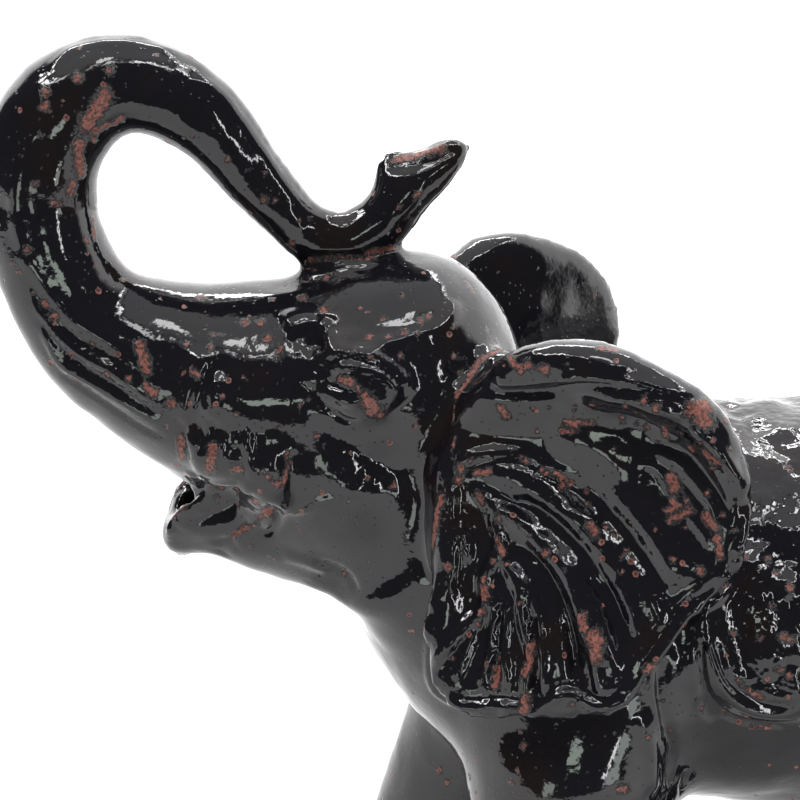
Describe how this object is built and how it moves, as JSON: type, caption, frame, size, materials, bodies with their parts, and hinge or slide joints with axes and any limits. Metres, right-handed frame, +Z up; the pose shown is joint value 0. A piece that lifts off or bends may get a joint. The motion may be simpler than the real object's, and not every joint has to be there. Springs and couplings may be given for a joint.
{
  "type": "ceramic elephant figurine",
  "caption": "Glazed ceramic elephant walking with its trunk curled up and back onto its forehead, pleated ears and a saddle cloth; stands on its four feet as an ornament.",
  "frame": {"origin": "centre of the bounding box, at the level of the soles", "axes": "+Z up, the elephant faces -X, its left side is -Y"},
  "size_m": [0.37, 0.1444, 0.33],
  "materials": {
    "glaze": "high-gloss black glaze with pinholes, worn through to red-brown clay on ridges and along creases"
  },
  "bodies": {
    "root": {"elephant": "glaze"}
  },
  "joints": []
}
